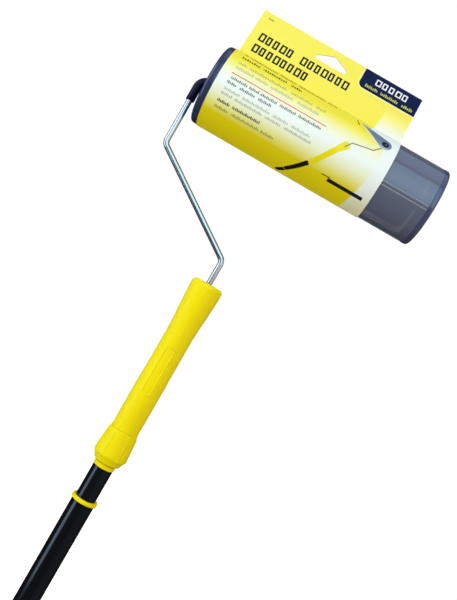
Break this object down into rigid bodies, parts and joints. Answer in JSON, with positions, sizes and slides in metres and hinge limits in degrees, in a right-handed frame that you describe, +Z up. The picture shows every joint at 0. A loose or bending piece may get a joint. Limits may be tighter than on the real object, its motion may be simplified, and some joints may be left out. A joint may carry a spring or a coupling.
{
  "type": "paint roller",
  "caption": "Paint roller with a turning splatter shield, bent wire frame and flared grip on a twist-lock telescopic pole, in its printed card sleeve.",
  "frame": {"origin": "middle of the hanging hole in the butt cap, on the pole's axis", "axes": "+Z up the pole towards the roller; +X along the roller, from the rod's elbow towards the free end; +Y towards the open side of the shield"},
  "size_m": [0.2743, 0.0874, 1.1794],
  "materials": {
    "tube_black": "gloss black paint",
    "yellow_plastic": "satin moulded yellow",
    "cap_black": "satin black",
    "white_nylon": "natural nylon",
    "zinc_steel": "bright zinc",
    "rod_zinc": "bright zinc plate",
    "navy_plastic": "gloss navy",
    "smoky_plastic": "smoky blue, see-through, gloss",
    "rim_plastic": "slate blue gloss",
    "cage_plastic": "black moulded",
    "cover_board": "resin-bonded board",
    "nap_fabric": "knitted pile",
    "printed_card": "coated and printed"
  },
  "bodies": {
    "outer_pole": {"outer_tube": "tube_black", "mouth_ring": "yellow_plastic", "butt_cap": "cap_black"},
    "lock_cam": {"cam_ring": "white_nylon"},
    "inner_pole": {"inner_tube": "tube_black", "lock_core": "white_nylon", "cam_washer": "zinc_steel", "cam_screw": "zinc_steel", "tip_insert": "yellow_plastic"},
    "lock_collar": {"lock_collar": "yellow_plastic"},
    "roller_frame": {"grip": "yellow_plastic", "grip_core": "yellow_plastic", "rod_pin": "zinc_steel", "rod": "rod_zinc", "elbow_sleeve": "navy_plastic", "left_washer": "white_nylon", "right_washer": "white_nylon", "push_nut": "zinc_steel"},
    "shield": {"shield_upper_shell": "smoky_plastic", "shield_lower_shell": "smoky_plastic", "shield_left_end": "rim_plastic", "shield_right_end": "rim_plastic"},
    "roller": {"cage_left_plug": "cage_plastic", "cage_right_plug": "cage_plastic", "cage_middle_disc": "cage_plastic", "cage_wires": "zinc_steel", "cover_core": "cover_board", "cover_nap": "nap_fabric"},
    "card": {"card_sleeve": "printed_card"}
  },
  "joints": [
    {"name": "pole_extend", "type": "slide", "parent": "outer_pole", "child": "lock_cam", "axis": [0, 0, 1], "range_m": [-0.034, 0.45]},
    {"name": "pole_twist", "type": "hinge", "parent": "lock_cam", "child": "inner_pole", "pos_m": [0, 0, 0.085], "axis": [0, 0, 1], "range_deg": [-90, 90]},
    {"name": "frame_detach", "type": "slide", "parent": "inner_pole", "child": "roller_frame", "axis": [0, 0, 1], "range_m": [0, 0.07]},
    {"name": "collar_turn", "type": "hinge", "parent": "roller_frame", "child": "lock_collar", "pos_m": [0, 0, 0.69], "axis": [0, 0, 1], "range_deg": [0, 120]},
    {"name": "shield_turn", "type": "hinge", "parent": "roller_frame", "child": "shield", "pos_m": [0, 0, 1.065], "axis": [1, 0, 0], "range_deg": [-135, 135]},
    {"name": "roller_spin", "type": "hinge", "parent": "roller_frame", "child": "roller", "pos_m": [0, 0, 1.065], "axis": [1, 0, 0], "continuous": true},
    {"name": "card_slide", "type": "slide", "parent": "shield", "child": "card", "axis": [1, 0, 0], "range_m": [0, 0.255]}
  ]
}
